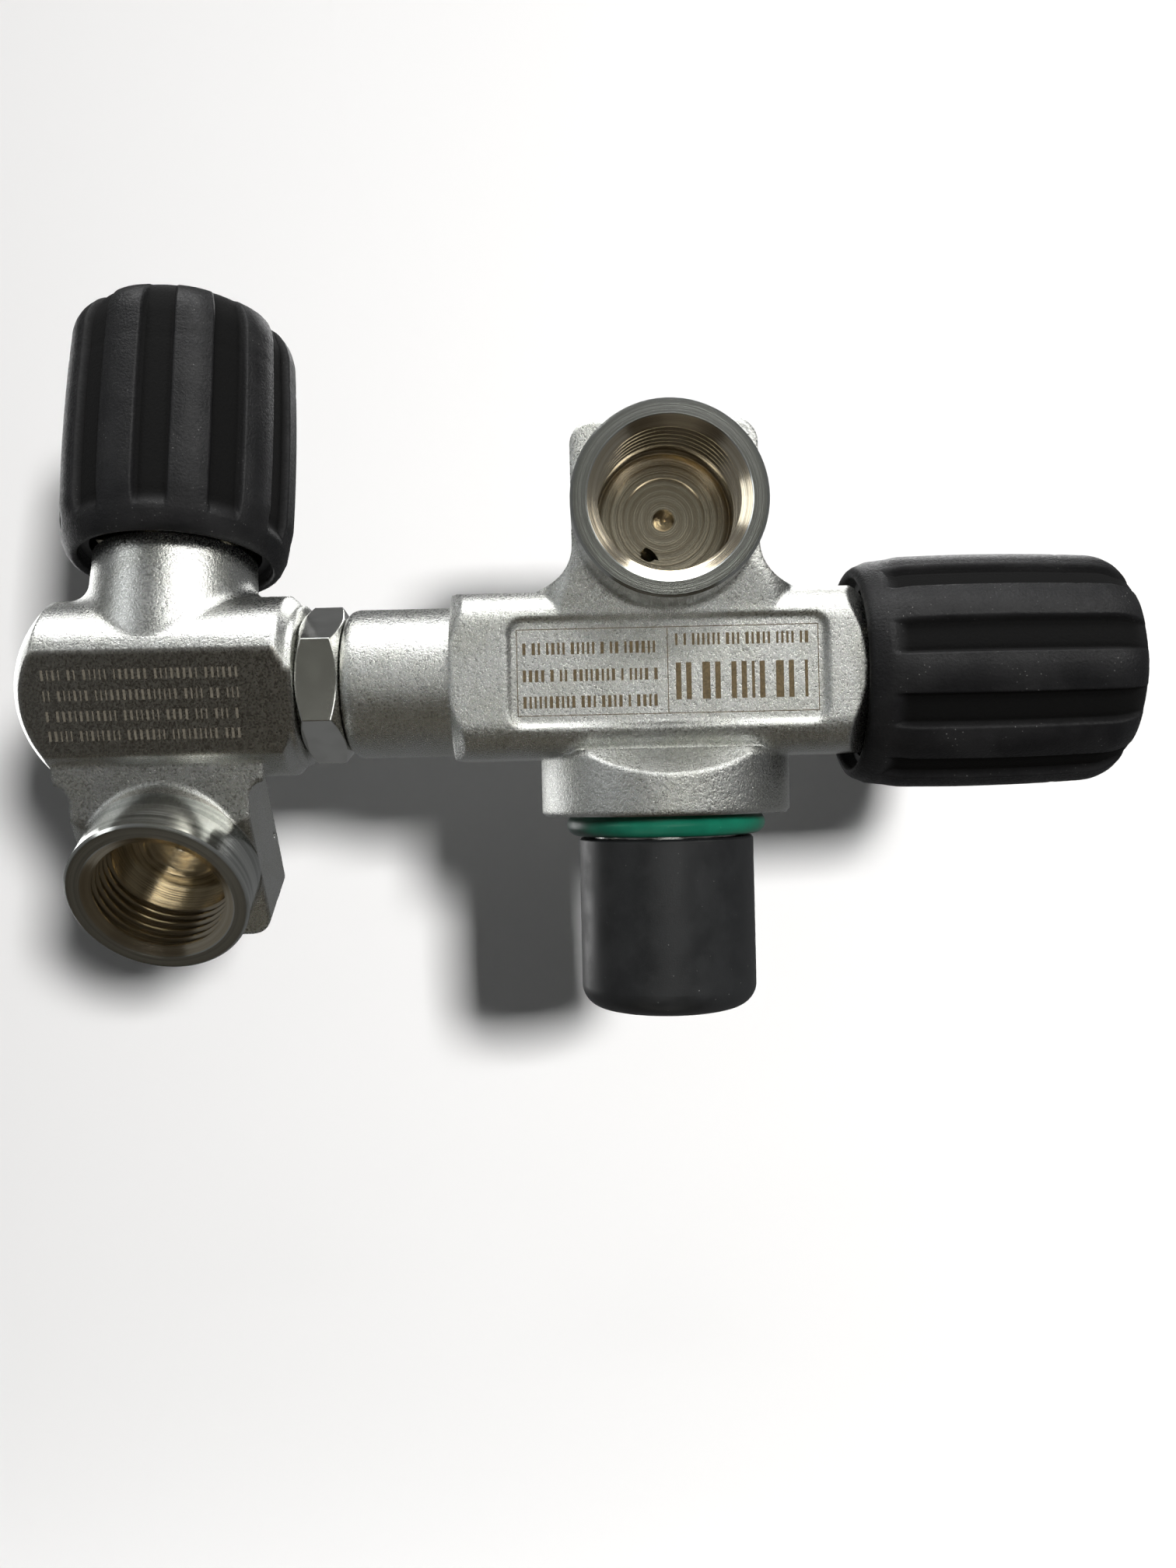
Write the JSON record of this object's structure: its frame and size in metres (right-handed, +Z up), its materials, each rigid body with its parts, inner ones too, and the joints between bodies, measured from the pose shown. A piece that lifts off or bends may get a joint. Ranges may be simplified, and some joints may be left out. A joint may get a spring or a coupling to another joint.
{
  "type": "scuba cylinder valve",
  "caption": "Modular two-outlet scuba cylinder valve with threaded outlets, ribbed rubber handwheels, a swivelling side module and a protective neck cap.",
  "frame": {"origin": "where the neck's axis meets the underside of the collar, the face that seats on a cylinder's neck", "axes": "+Z up along the neck, away from the cylinder; +X along the bar towards the main knob; -Y out of the main outlet"},
  "size_m": [0.1765, 0.054, 0.1179],
  "materials": {
    "forged_chrome": "sand-textured chrome plate on forged brass",
    "polished_chrome": "polished chrome plate",
    "nickel_brass": "nickel-plated turned brass",
    "stainless": "plain stainless steel",
    "black_rubber": "fine-grained matte rubber",
    "black_nylon": "moulded glass-filled nylon",
    "black_vinyl": "smooth soft vinyl",
    "green_rubber": "smooth green nitrile rubber",
    "black_seal": "smooth black nitrile rubber",
    "white_ptfe": "waxy white PTFE"
  },
  "bodies": {
    "valve_body": {"main_body": "forged_chrome", "neck_o_ring": "green_rubber", "main_bonnet": "nickel_brass", "main_bonnet_o_ring": "black_seal"},
    "thread_cap": {"thread_cap": "black_vinyl"},
    "main_knob": {"main_knob_grip": "black_rubber", "main_knob_hub": "black_nylon", "main_knob_nut": "stainless", "main_knob_washer": "stainless", "main_knob_spring": "stainless", "main_stem": "nickel_brass", "main_stem_o_ring": "black_seal", "main_stem_washer": "white_ptfe"},
    "main_seat": {"main_seat_plug": "nickel_brass", "main_seat_insert": "white_ptfe"},
    "side_module": {"side_body": "forged_chrome", "side_bonnet": "nickel_brass", "side_bonnet_o_ring": "black_seal", "crossover_spigot": "nickel_brass", "crossover_o_rings": "black_seal"},
    "side_knob": {"side_knob_grip": "black_rubber", "side_knob_hub": "black_nylon", "side_knob_nut": "stainless", "side_knob_washer": "stainless", "side_knob_spring": "stainless", "side_stem": "nickel_brass", "side_stem_o_ring": "black_seal", "side_stem_washer": "white_ptfe"},
    "side_seat": {"side_seat_plug": "nickel_brass", "side_seat_insert": "white_ptfe"},
    "lock_nut": {"lock_nut": "polished_chrome"}
  },
  "joints": [
    {"name": "main_knob_turn", "type": "hinge", "parent": "valve_body", "child": "main_knob", "pos_m": [0.0315, 0, 0.022], "axis": [1, 0, 0], "range_deg": [0, 900]},
    {"name": "main_seat_travel", "type": "slide", "parent": "main_knob", "child": "main_seat", "axis": [1, 0, 0], "range_m": [0, 0.0038]},
    {"name": "side_swivel", "type": "hinge", "parent": "valve_body", "child": "side_module", "pos_m": [-0.0506, 0, 0.022], "axis": [1, 0, 0], "range_deg": [-90, 90]},
    {"name": "side_knob_turn", "type": "hinge", "parent": "side_module", "child": "side_knob", "pos_m": [-0.08, 0.00406, 0.04393], "axis": [0, 0.1822, 0.9833], "range_deg": [0, 900]},
    {"name": "side_seat_travel", "type": "slide", "parent": "side_knob", "child": "side_seat", "axis": [0, 0.1822, 0.9833], "range_m": [0, 0.0038]},
    {"name": "lock_nut_turn", "type": "hinge", "parent": "side_module", "child": "lock_nut", "pos_m": [-0.05405, 0, 0.022], "axis": [1, 0, 0], "range_deg": [0, 120]},
    {"name": "cap_pull", "type": "slide", "parent": "valve_body", "child": "thread_cap", "axis": [0, 0, -1], "range_m": [0, 0.055]}
  ],
  "couplings": [
    {"joint": "main_seat_travel", "follows": "main_knob_turn", "m_per_rad": 0.00023873},
    {"joint": "side_seat_travel", "follows": "side_knob_turn", "m_per_rad": 0.00023873}
  ]
}
